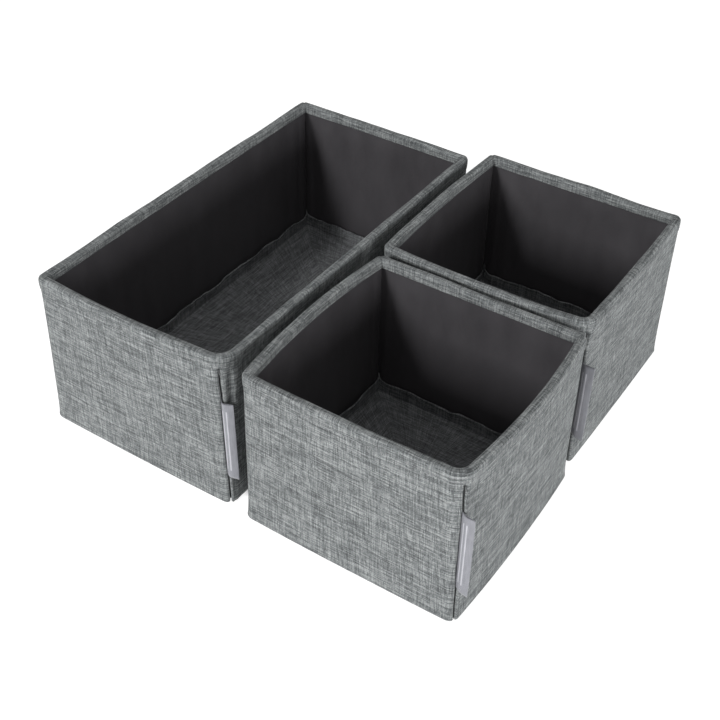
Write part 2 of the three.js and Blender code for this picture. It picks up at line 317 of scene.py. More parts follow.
class Shader:
    """A short way to write a material's nodes."""

    def __init__(self, name):
        self.material = bpy.data.materials.new(name)
        self.material.use_nodes = True
        self.tree = self.material.node_tree
        self.surface = self.tree.nodes["Principled BSDF"]

    def node(self, kind, **settings):
        made = self.tree.nodes.new(kind)
        for key, value in settings.items():
            setattr(made, key, value)
        return made

    def plug(self, socket, value):
        if isinstance(value, bpy.types.NodeSocket):
            self.tree.links.new(value, socket)
        else:
            socket.default_value = value

    def math(self, operation, a, b=0.0, c=0.0):
        made = self.node("ShaderNodeMath", operation=operation)
        for socket, value in zip(made.inputs, (a, b, c)):
            self.plug(socket, value)
        return made.outputs[0]

    def vector(self, x, y, z=0.0):
        made = self.node("ShaderNodeCombineXYZ")
        for socket, value in zip(made.inputs, (x, y, z)):
            self.plug(socket, value)
        return made.outputs[0]

    def noise(self, vector, scale=1.0, detail=2.0, roughness=0.5):
        made = self.node("ShaderNodeTexNoise", noise_dimensions="3D")
        self.plug(made.inputs["Vector"], vector)
        made.inputs["Scale"].default_value = scale
        made.inputs["Detail"].default_value = detail
        made.inputs["Roughness"].default_value = roughness
        return made.outputs["Fac"]

    def spread(self, value, low, high, to_low=0.0, to_high=1.0):
        made = self.node("ShaderNodeMapRange", clamp=True)
        for socket, v in zip(made.inputs, (value, low, high, to_low, to_high)):
            self.plug(socket, v)
        return made.outputs[0]

    def mix(self, share, a, b):
        made = self.node("ShaderNodeMix", data_type="FLOAT")
        self.plug(made.inputs[0], share)
        self.plug(made.inputs[2], a)
        self.plug(made.inputs[3], b)
        return made.outputs[0]

    def ramp(self, value, stops):
        made = self.node("ShaderNodeValToRGB")
        self.plug(made.inputs[0], value)
        elements = made.color_ramp.elements
        while len(elements) < len(stops):
            elements.new(0.5)
        for element, (place, color) in zip(elements, stops):
            element.position = place
            element.color = (*color, 1.0)
        return made.outputs[0]

    def bump(self, height, distance, strength):
        made = self.node("ShaderNodeBump")
        made.inputs["Distance"].default_value = distance
        made.inputs["Strength"].default_value = strength
        self.plug(made.inputs["Height"], height)
        return made.outputs[0]

    def finish(self, values):
        """Sets or links inputs of the surface, by name, and hands over the material."""
        for name, value in values.items():
            self.plug(self.surface.inputs[name], value)
        return self.material

    def weave_coordinates(self):
        """Millimetres along and across the cloth."""
        placed = self.node("ShaderNodeUVMap", uv_map="WeaveMap")
        split = self.node("ShaderNodeSeparateXYZ")
        self.plug(split.inputs[0], placed.outputs[0])
        return self.math("DIVIDE", split.outputs[0], MM), self.math("DIVIDE", split.outputs[1], MM)


YARN_PITCH = 0.5
WARP_STRETCH, WEFT_STRETCH = 12.0, 18.0  # typical length of a light or dark stretch
SLUB_LENGTH = 6.0


def yarn_tone(s, yarn, along, length, layer):
    """Light and dark stretches of each yarn, about `length` mm long and different from yarn to yarn."""
    place = s.vector(s.math("MULTIPLY", yarn, 7.31), s.math("DIVIDE", along, length), layer)
    return s.spread(s.noise(place, detail=3, roughness=0.55), 0.36, 0.64)


def yarn_slubs(s, yarn, along, layer):
    """Short dark stretches on a few yarns."""
    place = s.vector(s.math("MULTIPLY", yarn, 5.13), s.math("DIVIDE", along, SLUB_LENGTH), layer)
    return s.spread(s.noise(place, detail=1), 0.63, 0.7)


def melange_material(name, dark, middle, light):
    """Plain weave of light and dark grey yarns, each uneven along its length."""
    s = Shader(name)
    u, v = s.weave_coordinates()
    drift = s.noise(s.vector(s.math("MULTIPLY", u, 0.03), s.math("MULTIPLY", v, 0.03)), detail=3)
    drift = s.math("MULTIPLY_ADD", drift, 1.6, -0.8)
    along = s.math("ADD", s.math("DIVIDE", u, YARN_PITCH), drift)
    across = s.math("SUBTRACT", s.math("DIVIDE", v, YARN_PITCH), drift)
    warp, weft = s.math("FLOOR", along), s.math("FLOOR", across)

    warp_tone = yarn_tone(s, warp, v, WARP_STRETCH, 1.7)
    weft_tone = yarn_tone(s, weft, u, WEFT_STRETCH, 9.2)
    over = s.math("PINGPONG", s.math("ADD", warp, weft), 1.0)
    tone = s.mix(s.math("MULTIPLY_ADD", over, 0.3, 0.42), warp_tone, weft_tone)
    speckle = s.node("ShaderNodeTexWhiteNoise", noise_dimensions="2D")
    s.plug(speckle.inputs["Vector"], s.vector(warp, weft))
    tone = s.math("ADD", tone, s.math("MULTIPLY_ADD", speckle.outputs["Value"], 0.24, -0.12))
    cloud = s.noise(s.vector(s.math("MULTIPLY", u, 0.04), s.math("MULTIPLY", v, 0.04), 4.0), detail=3)
    tone = s.math("ADD", tone, s.math("MULTIPLY_ADD", cloud, 0.12, -0.06))
    slubs = s.math("MAXIMUM", yarn_slubs(s, warp, v, 3.3), yarn_slubs(s, weft, u, 6.1))
    shade = s.math("MULTIPLY", s.spread(tone, 0.0, 1.0), s.math("MULTIPLY_ADD", slubs, -0.6, 1.0))
    color = s.ramp(shade, [(0.0, dark), (0.5, middle), (1.0, light)])

    ridge_u = s.math("SINE", s.math("MULTIPLY", s.math("FRACT", along), math.pi))
    ridge_v = s.math("SINE", s.math("MULTIPLY", s.math("FRACT", across), math.pi))
    relief = s.math("ADD", s.mix(over, ridge_u, ridge_v), s.math("MULTIPLY", shade, 0.5))
    return s.finish({"Base Color": color, "Normal": s.bump(relief, 0.00012, 0.6), "Roughness": 0.95,
                     "Specular IOR Level": 0.12, "Sheen Weight": 0.05, "Sheen Roughness": 0.6})


LINING_RIB = 0.45


def lining_material():
    """Smooth dark polyester with a fine rib and a faint sheen."""
    s = Shader("charcoal_lining")
    u, v = s.weave_coordinates()
    cloud = s.noise(s.vector(s.math("MULTIPLY", u, 0.05), s.math("MULTIPLY", v, 0.02)), detail=4,
                    roughness=0.6)
    rib = s.math("SINE", s.math("MULTIPLY", v, 2 * math.pi / LINING_RIB))
    thread = s.noise(s.vector(s.math("MULTIPLY", u, 0.35), s.math("MULTIPLY", v, 3.0), 2.0), detail=2)
    shade = s.math("ADD", s.math("MULTIPLY", cloud, 0.7), s.math("MULTIPLY", thread, 0.3))
    color = s.ramp(s.spread(shade, 0.3, 0.7), [(0.0, (0.04, 0.0375, 0.041)), (1.0, (0.057, 0.0535, 0.058))])
    roughness = s.spread(cloud, 0.3, 0.7, 0.46, 0.6)
    relief = s.math("ADD", s.math("MULTIPLY", rib, 0.25), thread)
    return s.finish({"Base Color": color, "Roughness": roughness, "Normal": s.bump(relief, 0.00004, 0.5),
                     "Specular IOR Level": 0.35, "Sheen Weight": 0.08, "Sheen Roughness": 0.4})


def nonwoven_material():
    """Dark pressed nonwoven with small bonded dimples."""
    s = Shader("dark_nonwoven")
    u, v = s.weave_coordinates()
    place = s.node("ShaderNodeTexVoronoi", feature="F1", voronoi_dimensions="2D")
    s.plug(place.inputs["Vector"], s.vector(u, v))
    place.inputs["Scale"].default_value = 0.7
    place.inputs["Randomness"].default_value = 0.25
    dimple = s.spread(place.outputs["Distance"], 0.15, 0.4)
    fibre = s.noise(s.vector(u, v), scale=2.5, detail=4, roughness=0.7)
    shade = s.math("ADD", s.math("MULTIPLY", dimple, 0.5), s.math("MULTIPLY", fibre, 0.5))
    color = s.ramp(shade, [(0.2, (0.02, 0.02, 0.022)), (0.9, (0.055, 0.055, 0.06))])
    return s.finish({"Base Color": color, "Normal": s.bump(shade, 0.0002, 0.6), "Roughness": 0.85})


RIBBON_RIB = 0.3
RIBBON_STRIPES = (14.4, 16.4)
STRIPE_HALF_WIDTH = 0.35
STRIPE_MIDDLE, STRIPE_REACH = 25.0, 20.0  # up the label from its foot, and each way from there


def ribbon_material():
    """Pale grey satin ribbon with fine cross ribs, painted sheen streaks along it, and two plain pinstripes
    on the ply seen in front.
    """
    s = Shader("grey_satin_ribbon")
    u, v = s.weave_coordinates()
    rib = s.math("SINE", s.math("MULTIPLY", v, 2 * math.pi / RIBBON_RIB))
    # painted sheen: light and dark streaks along the satin, put into its colour
    sheen = s.noise(s.vector(s.math("MULTIPLY", u, 1.2), s.math("MULTIPLY", v, 0.15)), detail=3)
    painted_sheen_ground = s.spread(sheen, 0.3, 0.7, 0.25, 0.45)
    stripes = [s.math("LESS_THAN", s.math("ABSOLUTE", s.math("SUBTRACT", u, place)), STRIPE_HALF_WIDTH)
               for place in RIBBON_STRIPES]
    ends = s.math("LESS_THAN", s.math("ABSOLUTE", s.math("SUBTRACT", v, STRIPE_MIDDLE)), STRIPE_REACH)
    motif = s.math("MULTIPLY", s.math("MAXIMUM", *stripes), ends)
    shade = s.math("ADD", painted_sheen_ground, s.math("MULTIPLY", motif, 0.45))
    color = s.ramp(shade, [(0.2, (0.15, 0.153, 0.172)), (0.5, (0.22, 0.224, 0.248)),
                           (0.9, (0.44, 0.44, 0.475))])
    relief = s.math("MULTIPLY_ADD", motif, 1.5, rib)
    return s.finish({"Base Color": color, "Normal": s.bump(relief, 0.00004, 0.5), "Roughness": 0.42,
                     "Sheen Weight": 0.2})


def board_material():
    """Grey-brown stiffening board with long fibres and fine specks."""
    s = Shader("stiffening_board")
    place = s.node("ShaderNodeTexCoord").outputs["Object"]
    stretch = s.node("ShaderNodeMapping")
    stretch.inputs["Scale"].default_value = (60, 60, 420)
    s.plug(stretch.inputs["Vector"], place)
    fibre = s.noise(stretch.outputs[0], scale=1.0, detail=5, roughness=0.6)
    speck = s.noise(place, scale=900, detail=2)
    shade = s.math("ADD", s.math("MULTIPLY", fibre, 0.6), s.math("MULTIPLY", speck, 0.4))
    color = s.ramp(s.spread(shade, 0.35, 0.65), [(0.0, (0.22, 0.16, 0.1)), (1.0, (0.42, 0.33, 0.22))])
    return s.finish({"Base Color": color, "Normal": s.bump(shade, 0.0001, 0.5), "Roughness": 0.9})


THREAD_TWIST = 0.35


def thread_material():
    """Spun polyester sewing thread, twisted."""
    s = Shader("sewing_thread")
    u, v = s.weave_coordinates()
    twist = s.math("SINE", s.math("MULTIPLY", s.math("ADD", u, v), 2 * math.pi / THREAD_TWIST))
    color = s.ramp(s.spread(twist, -1, 1), [(0.0, (0.11, 0.115, 0.12)), (1.0, (0.24, 0.25, 0.25))])
    return s.finish({"Base Color": color, "Normal": s.bump(twist, 0.00004, 0.6), "Roughness": 0.6})


OUTER = melange_material("grey_melange", (0.05, 0.054, 0.056), (0.155, 0.165, 0.167), (0.32, 0.334, 0.332))
# the insert's melange is the cover's cloth made a little lighter: painted light on the shaded floor inside
# each box
INSERT = melange_material("grey_melange_insert_painted_light", (0.065, 0.068, 0.071), (0.168, 0.174, 0.18),
                          (0.31, 0.32, 0.328))
LINING = lining_material()
NONWOVEN = nonwoven_material()
RIBBON = ribbon_material()
BOARD = board_material()
THREAD = thread_material()


def finish_piece(piece, material, body, replaced=()):
    """Gives a piece its material and says what it rides on and what it stands in for."""
    piece.data.materials.clear()
    piece.data.materials.append(material)
    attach(piece, body)
    if replaced:
        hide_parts(*replaced)


# ---------------------------------------------------------------- outer cover

SEAM_GAP = 1.1  # between the two rolled edges
SEAM_DEPTH = 3.4  # how far each edge is turned in
SEAM_DEPTH_STEPS, SEAM_ROLL_STEPS = 4, 6
SEAM_MARGIN = 0.3
COVER_INSET = 0.5
COVER_TOP = 96.0
BOTTOM_ROUND = 1.1  # radius of the turn under the wall
LEAN_TOP = 88.0  # no lean from this height up
TUCK_PLACE, TUCK_WIDTH = 4.6, 1.7  # round the outline from the seam
FOOT_FLARE = 0.8  # how far the cloth stands out at the bottom edge


def cover_section():
    """The cover's run from behind the binding down the wall and round the bottom edge."""
    top = [(1.15, COVER_TOP), (1.15, 94.0), (1.1, 93.1), (0.9, 92.5), (0.62, 92.0), (0.48, 91.2)]
    wall = [(COVER_INSET - FOOT_FLARE * math.exp(-z / 7.0), z) for z in np.linspace(89.5, 3.0, 42)]
    centre = (COVER_INSET - FOOT_FLARE + BOTTOM_ROUND, BOTTOM_ROUND + 0.3)
    bottom = arc_section(centre, BOTTOM_ROUND, 180, 262, 8)
    hem = [(1.6, 0.35), (2.2, 0.6), (2.6, 0.9), (6.0, 0.95)]
    return [*top, *wall, *bottom, *hem]


def seam_frame(box, height):
    """The seam corner's radius and centre at a height, the way it faces and the way round it."""
    radius = at_height(box["radius"]["front_right"], height)
    centre = np.array([box["width"] / 2 - radius, radius - box["length"] / 2])
    heading = box["seam_angle"] - math.pi / 2
    normal = np.array([math.cos(heading), math.sin(heading)])
    tangent = np.array([-normal[1], normal[0]])
    return radius, centre, normal, tangent


def seam_tuck(box, inset, height, direction, roll, proud):
    """The cloth's edge beside the seam: rolled over and turned in, from its cut end outwards."""
    radius, centre, normal, tangent = seam_frame(box, height)
    reach = radius - inset + proud
    wander = 0.15 * math.sin(height / 9.0) + 0.1 * math.sin(height / 3.7 + 1.0)
    depths = np.linspace(SEAM_DEPTH, roll, SEAM_DEPTH_STEPS, endpoint=False)
    places = [(SEAM_GAP / 2, reach - depth) for depth in depths]
    for angle in np.radians(np.linspace(0, 78, SEAM_ROLL_STEPS)):
        places.append((SEAM_GAP / 2 + roll * (1 - math.cos(angle)), reach - roll * (1 - math.sin(angle))))
    points = []
    for aside, out in places:
        out -= aside**2 / (2 * radius)
        flat = centre + normal * out + tangent * (direction * aside + wander)
        points.append((flat[0], flat[1], height))
    return points


def outer_cover(name, box):
    """The woven cover: one strip round the box, its two ends rolled in at the corner seam."""
    plan = Plan(box)
    rolls = {1: 1.5, -1: 0.9}
    proud = {1: 0.3, -1: 0.0}
    cleared = {side: SEAM_GAP / 2 + roll + SEAM_MARGIN for side, roll in rolls.items()}
    kept = (plan.u > cleared[1]) & (plan.u < plan.around - cleared[-1])
    section = cover_section()
    heights = [z for _, z in section]
    bulge = plan.waves(heights, box["seed"], 70.0, 90.0, 0.16)
    bulge += plan.waves(heights, box["seed"] + 1, 22.0, 30.0, 0.05)
    fade = np.interp(heights, [2.0, 12.0, 86.0, 93.0], [0.2, 1.0, 1.0, 0.0])
    near_foot = np.exp(-np.maximum(np.asarray(heights) - 3.0, 0.0) / 5.0)
    pucker = plan.waves(heights, box["seed"] + 2, 9.0, 60.0, 0.1) * near_foot[:, None]
    shift = np.clip(bulge * fade[:, None] + pucker * fade[:, None], -0.45, 0.45)
    groove = box["tuck"] * np.exp(-(((plan.u - TUCK_PLACE) / TUCK_WIDTH) ** 2))
    lean = plan.per_side(box["lean"])
    lean_at_seam = float(np.interp(0.0, plan.u, lean))
    rows = []
    for j, (inset, height) in enumerate(section):
        low = max(0.0, 1 - height / LEAN_TOP)
        wall = plan.at(inset + shift[j] + groove * fade[j] - lean * low, height)[kept]
        edge = inset - lean_at_seam * low
        start = seam_tuck(box, edge, height, 1, rolls[1], proud[1] * fade[j])
        end = seam_tuck(box, edge, height, -1, rolls[-1], proud[-1] * fade[j])[::-1]
        rows.append(np.vstack([start, wall, end]))
    before = np.linspace(-SEAM_DEPTH - 1.0, 0.4, SEAM_DEPTH_STEPS + SEAM_ROLL_STEPS)
    u = np.concatenate([before, plan.u[kept], plan.around - before[::-1]])
    piece = grid_piece(f"{name}_cover_cloth", rows[::-1], u + 31.0 * box["seed"],
                       -running_length(section)[::-1], box_centre(name))
    thicken(piece, CLOTH)
    finish_piece(piece, OUTER, f"{name}_box", [f"{name}_outer_cover"])


# ---------------------------------------------------------------- rim binding

STITCH_PITCH = 3.1
OUTER_STITCH_Z, INNER_STITCH_Z = 93.9, 95.9
OUTER_HEM_Z, INNER_HEM_Z = 93.0, 95.0
BINDING_MIDDLE = 2.45  # the inset between the outer leg and the inner leg


def binding_section():
    """Hem return, outer leg, rounded top, inner leg and its hem return."""
    outer = [(0.78, 94.2), (0.76, 93.4), (0.62, 92.75), (0.4, 92.6), (0.24, 92.9), (0.18, 93.4),
             (0.22, 93.9), (0.12, 94.4), (0.05, 95.2), (0.02, 96.2), (0.06, 97.2)]
    top = [*arc_section((1.75, 98.2), 1.65, 172, 92, 7), *arc_section((3.1, 98.15), 1.68, 88, 8, 7)]
    inner = [(4.79, 97.3), (4.76, 96.6), (4.68, 96.1), (4.66, 95.8), (4.74, 95.3), (4.72, 94.9),
             (4.62, 94.55), (4.46, 94.5), (4.36, 94.8), (4.34, 95.4)]
    return [*outer, *top, *inner]


def rim_binding(name, box):
    """The strip folded over the rim, dimpled at each stitch and dipped at the mitred corners."""
    plan = Plan(box, side_step=1.0, arc_step=0.5)
    section = np.array(binding_section())
    along = running_length(section)
    soft = plan.waves(along, box["seed"] + 5, 26.0, 40.0, 0.07)
    low = plan.waves([0.0] * len(section), box["seed"] + 6, 80.0, 200.0, 0.22)
    stitch = 0.5 + 0.5 * np.cos(2 * math.pi * plan.u / stitch_spacing(plan))
    mitre = np.zeros(plan.count)
    for distance in plan.corner_distances().values():
        mitre += np.exp(-(((plan.u - distance) / 0.7) ** 2))
    rows = []
    for j, (inset, height) in enumerate(section):
        outside = inset < BINDING_MIDDLE
        leg = 1 if outside else -1
        stitch_z, hem = (OUTER_STITCH_Z, OUTER_HEM_Z) if outside else (INNER_STITCH_Z, INNER_HEM_Z)
        groove = math.exp(-(((height - stitch_z) / 0.5) ** 2))
        puff = 0.1 * stitch * math.exp(-(((height - hem) / 0.8) ** 2))
        crown = min(1.0, max(0.0, (height - 96.5) / 3.0))
        depth = leg * (groove * 0.16 * (1 - stitch) - puff) * (1 if height < 96 else 0)
        held = np.clip((height - 92.0) / 3.0, 0.15, 1.0)
        inward = inset + depth + soft[j] * held * leg * 0.6
        level = height + crown * (soft[j] * 1.3 + low[j] - 0.45 * mitre) - 0.12
        rows.append(plan.at(inward, np.minimum(level, HEIGHT)))
    u = np.append(plan.u, plan.around)
    piece = grid_piece(f"{name}_binding_cloth", rows, u + 17.0 * box["seed"], along, box_centre(name),
                       close_round=True)
    thicken(piece, CLOTH)
    finish_piece(piece, OUTER, f"{name}_box", [f"{name}_rim_binding"])


def stitch_spacing(plan):
    """The pitch nearest STITCH_PITCH that goes a whole number of times round."""
    return plan.around / round(plan.around / STITCH_PITCH)


THREAD_RADIUS = 0.17
# one stitch: (place along it, as a share of the spacing, and lift off the cloth)
STITCH_SHAPE = ((-0.42, -0.3), (-0.34, 0.02), (-0.15, 0.13), (0.15, 0.13), (0.34, 0.02), (0.42, -0.3))


def tube(path, radius, sides=6):
    """Vertices and faces of a thin tube along a list of points, closed at both ends."""
    path = np.asarray(path)
    vertices, faces = [], []
    for i, p in enumerate(path):
        ahead = path[min(i + 1, len(path) - 1)] - path[max(i - 1, 0)]
        ahead /= np.linalg.norm(ahead)
        helper = np.array([0.0, 0.0, 1.0]) if abs(ahead[2]) < 0.9 else np.array([1.0, 0.0, 0.0])
        side = np.cross(ahead, helper)
        side /= np.linalg.norm(side)
        up = np.cross(side, ahead)
        for k in range(sides):
            angle = 2 * math.pi * k / sides
            vertices.append(p + radius * (math.cos(angle) * side + math.sin(angle) * up))
    for i in range(len(path) - 1):
        for k in range(sides):
            n = (k + 1) % sides
            faces.append((i * sides + k, i * sides + n, (i + 1) * sides + n, (i + 1) * sides + k))
    last = (len(path) - 1) * sides
    faces.append(tuple(reversed(range(sides))))
    faces.append(tuple(range(last, last + sides)))
    return vertices, faces


def tubes_piece(name, paths, radius, centre):
    """One mesh of a thin tube along each path."""
    vertices, faces = [], []
    for path in paths:
        made, joined = tube(path, radius)
        faces.extend(tuple(i + len(vertices) for i in face) for face in joined)
        vertices.extend(made)
    mesh = bpy.data.meshes.new(name)
    mesh.from_pydata([tuple(v * MM + centre) for v in vertices], [], faces)
    layer = mesh.uv_layers.new(name="WeaveMap")
    for loop in mesh.loops:
        v = vertices[loop.vertex_index]
        layer.uv[loop.index].vector = ((v[0] + v[1]) * MM, v[2] * MM)
    mesh.polygons.foreach_set("use_smooth", [True] * len(mesh.polygons))
    return link_piece(name, mesh)


def rim_stitching(name, box):
    """The two lines of top stitching through the binding, as separate stitches."""
    plan = Plan(box, side_step=1.0, arc_step=0.5)
    spacing = stitch_spacing(plan)
    normals = np.column_stack([plan.normal, np.zeros(plan.count)])
    paths = []
    lines = ((0.38 - CLOTH / 2, OUTER_STITCH_Z, 1), (4.5 + CLOTH / 2, INNER_STITCH_Z, -1))
    for inset, height, outward in lines:
        line = plan.at(inset, height)
        for k in range(round(plan.around / spacing)):
            middle = (k + 0.5) * spacing
            us = np.array([middle + a * spacing for a, _ in STITCH_SHAPE])
            lifts = np.array([lift for _, lift in STITCH_SHAPE])
            along = plan.at_distance(line, us)
            facing = plan.at_distance(normals, us)
            paths.append(along + facing * (outward * lifts)[:, None])
    piece = tubes_piece(f"{name}_rim_stitches", paths, THREAD_RADIUS, box_centre(name))
    finish_piece(piece, THREAD, f"{name}_box")


# ---------------------------------------------------------------- lining

LINING_INSET = 3.8
LINING_FLOOR = 1.3
LINING_FOLDS = ((7.0, 0.8), (17.0, 0.55), (30.0, 0.35))  # distance from a corner and depth


def floor_rows(plan, first_inset, height, slack=0.0, seed=0, top_corners=False):
    """Rows of a flat floor that run in from the walls towards the middle."""
    limit = min(plan.box["width"], plan.box["length"]) / 2 - 1.0
    insets = [i for i in (first_inset + 1.5, 9.0, 14.0, 22.0, 32.0, 44.0, 56.0) if first_inset < i < limit]
    insets.append(limit)
    swell = plan.waves(insets, seed, 60.0, 40.0, slack)
    rows = []
    for j, inset in enumerate(insets):
        calm = 1 - inset / limit
        rows.append(plan.at(inset, height + np.abs(swell[j]) * calm, low_bow=True, top_corners=top_corners))
    return insets, rows


def lining(name, box):
    """The loose lining: walls with soft upright folds near the corners, and a floor."""
    plan = Plan(box, side_step=1.5, arc_step=0.5)
    heights = [*np.linspace(97.0, 88.0, 7), *np.linspace(85.5, 4.0, 40), 2.6]
    puffs = plan.waves(heights, box["seed"] + 8, 24.0, 260.0, 0.16)
    puffs += plan.waves(heights, box["seed"] + 9, 60.0, 70.0, 0.22)
    folds = np.zeros((len(heights), plan.count))
    rng = np.random.default_rng(box["seed"] + 10)
    for distance in (*plan.corner_distances().values(), 0.0, plan.around):
        for side in (-1, 1):
            for reach, amount in LINING_FOLDS:
                wander = rng.uniform(-0.02, 0.02) * (np.asarray(heights)[:, None] - 50)
                middle = distance + side * (reach + rng.uniform(-2, 2)) + wander
                width = reach * 0.22 + 1.0
                folds += amount * np.exp(-(((plan.u[None, :] - middle) / width) ** 2))
    fade = np.interp(heights, [2.0, 10.0, 84.0, 93.0], [0.0, 1.0, 1.0, 0.1])[:, None]
    shift = np.clip((puffs + folds) * fade, -0.05, 1.4)
    rows = [plan.at(LINING_INSET + shift[j], z) for j, z in enumerate(heights)]
    turn = ((LINING_INSET + 0.15, 1.75), (LINING_INSET + 0.6, LINING_FLOOR))
    rows += [plan.at(inset, z) for inset, z in turn]
    insets, floor = floor_rows(plan, LINING_INSET + 0.6, LINING_FLOOR)
    section = [*((LINING_INSET, z) for z in heights), *turn, *((i, LINING_FLOOR) for i in insets)]
    u = np.append(plan.u, plan.around)
    piece = grid_piece(f"{name}_lining_cloth", [*rows, *floor], u + 13.0 * box["seed"],
                       running_length(section), box_centre(name), close_round=True, cap_last=True)
    thicken(piece, LINING_CLOTH)
    finish_piece(piece, LINING, f"{name}_box", [f"{name}_lining"])
    width, length = box["width"] - 2 * LINING_INSET, box["length"] - 2 * LINING_INSET


BASE_CLOTH_Z = 0.22


def base_cloth(name, box):
    """The nonwoven sheet under the box, whose edge laps over the cover's hem."""
    plan = Plan(box, side_step=3.0, arc_step=1.0)
    edge = [(2.7, 0.5), (2.85, 0.32), (3.2, BASE_CLOTH_Z), (4.2, BASE_CLOTH_Z), (6.0, 0.3), (6.6, 0.42),
            (7.2, 0.3)]
    insets, floor = floor_rows(plan, 7.4, BASE_CLOTH_Z)
    rows = [*(plan.at(i, z) for i, z in edge), *floor]
    section = [*edge, *((i, BASE_CLOTH_Z) for i in insets)]
    u = np.append(plan.u, plan.around)
    piece = grid_piece(f"{name}_base_cloth", rows, u, running_length(section), box_centre(name),
                       close_round=True, cap_last=True)
    thicken(piece, CLOTH)
    finish_piece(piece, NONWOVEN, f"{name}_box", [f"{name}_base_panel"])


# ---------------------------------------------------------------- base insert

INSERT_INSET = 5.5
POUCH_BOTTOM, POUCH_TOP = 2.0, 5.15
FLANGE_TOP = 13.8
FLANGE_SHARES = (0.96, 1.0, 0.97, 0.85, 0.65, 0.45, 0.28, 0.14, 0.05)  # from its hem down to the pouch


def insert_cloth(name, box):
    """Pouch round the base board: a top sheet whose flange turns up the walls, and an under sheet."""
    plan = Plan(box, side_step=1.2, arc_step=0.5)
    seed = box["seed"] + 20
    crest = plan.waves([0.0], seed, 34.0, 100.0, 0.8)[0] + plan.waves([0.0], seed + 1, 12.0, 100.0, 0.25)[0]

    def fitted(inset, height):
        return plan.at(inset, height, low_bow=True, top_corners=True)

    peak = np.zeros(plan.count)
    for corner, distance in plan.corner_distances().items():
        peak += (1.8 if corner == "rear_left" else 0.6) * np.exp(-(((plan.u - distance) / 3.5) ** 2))
    top = FLANGE_TOP + np.clip(crest, -1.5, 1.0) + 3.0 * peak
    lean = np.clip(plan.waves([0.0], seed + 2, 28.0, 100.0, 0.35)[0], 0.0, 0.9) + 0.25
    rows, section = [], []
    for share in FLANGE_SHARES:
        hem = 0.8 if not rows else 0.0
        height = POUCH_TOP + (top - POUCH_TOP) * share
        rows.append(fitted(INSERT_INSET + hem + lean * share * 0.9, height))
        section.append((INSERT_INSET, POUCH_TOP + (FLANGE_TOP - POUCH_TOP) * share))
    rows.append(fitted(INSERT_INSET + 0.3, POUCH_TOP + 0.12))
    section.append((INSERT_INSET + 0.3, POUCH_TOP + 0.1))
    insets, floor = floor_rows(plan, INSERT_INSET + 0.3, POUCH_TOP, slack=0.35, seed=seed + 3,
                               top_corners=True)
    section += [(i, POUCH_TOP) for i in insets]
    u = np.append(plan.u, plan.around)
    upper = grid_piece(f"{name}_insert_cloth", [*rows, *floor], u + 7.0 * seed, running_length(section),
                       box_centre(name), close_round=True, cap_last=True)
    rear = (plan.side == 2) & ~plan.is_arc
    lip = np.where(rear, POUCH_BOTTOM + 0.35, POUCH_TOP - 0.3)
    under_rows = [fitted(INSERT_INSET + 0.05, lip), fitted(INSERT_INSET, POUCH_BOTTOM + 0.3),
                  fitted(INSERT_INSET + 0.3, POUCH_BOTTOM)]
    insets, floor = floor_rows(plan, INSERT_INSET + 0.3, POUCH_BOTTOM, top_corners=True)
    under_section = [(INSERT_INSET, POUCH_TOP - 0.3), (INSERT_INSET, POUCH_BOTTOM + 0.3),
                     (INSERT_INSET + 0.3, POUCH_BOTTOM), *((i, POUCH_BOTTOM) for i in insets)]
    under = grid_piece(f"{name}_insert_under", [*under_rows, *floor], u, running_length(under_section),
                       box_centre(name), close_round=True, cap_last=True)
    thicken(upper, CLOTH)
    thicken(under, CLOTH)
    join(upper, under)
    finish_piece(upper, INSERT, f"{name}_insert", [f"{name}_insert_cover"])


# ---------------------------------------------------------------- label

LABEL_HEIGHT = 50.0
LABEL_FOLD = 0.24
RIBBON_CLOTH = 0.2


def label_path(box, height_share):
    """Middle line of the folded ribbon in plan at one height: out of the seam, a bend, then straight."""
    radius, centre, normal, _ = seam_frame(box, box["label_bottom"] + LABEL_HEIGHT * height_share)
    heading = box["seam_angle"] - math.pi / 2
    final = box["label_heading"] + math.radians(5.0) * (height_share - 0.5)
    curl = math.radians(3.0) * math.sin(2.6 * height_share + 0.4)
    point = centre + normal * (radius - 3.2)
    angle = heading
    stations = [(point, angle)]
    # count of steps, length of a step and turn at each: in the seam, at the bend, along the flag
    for count, step, turn in ((4, 0.8, 0.0), (10, 0.3, (final - heading) / 10), (7, 0.6, curl)):
        for _ in range(count):
            angle += turn
            point = point + step * np.array([math.cos(angle), math.sin(angle)])
            stations.append((point, angle))
    return stations


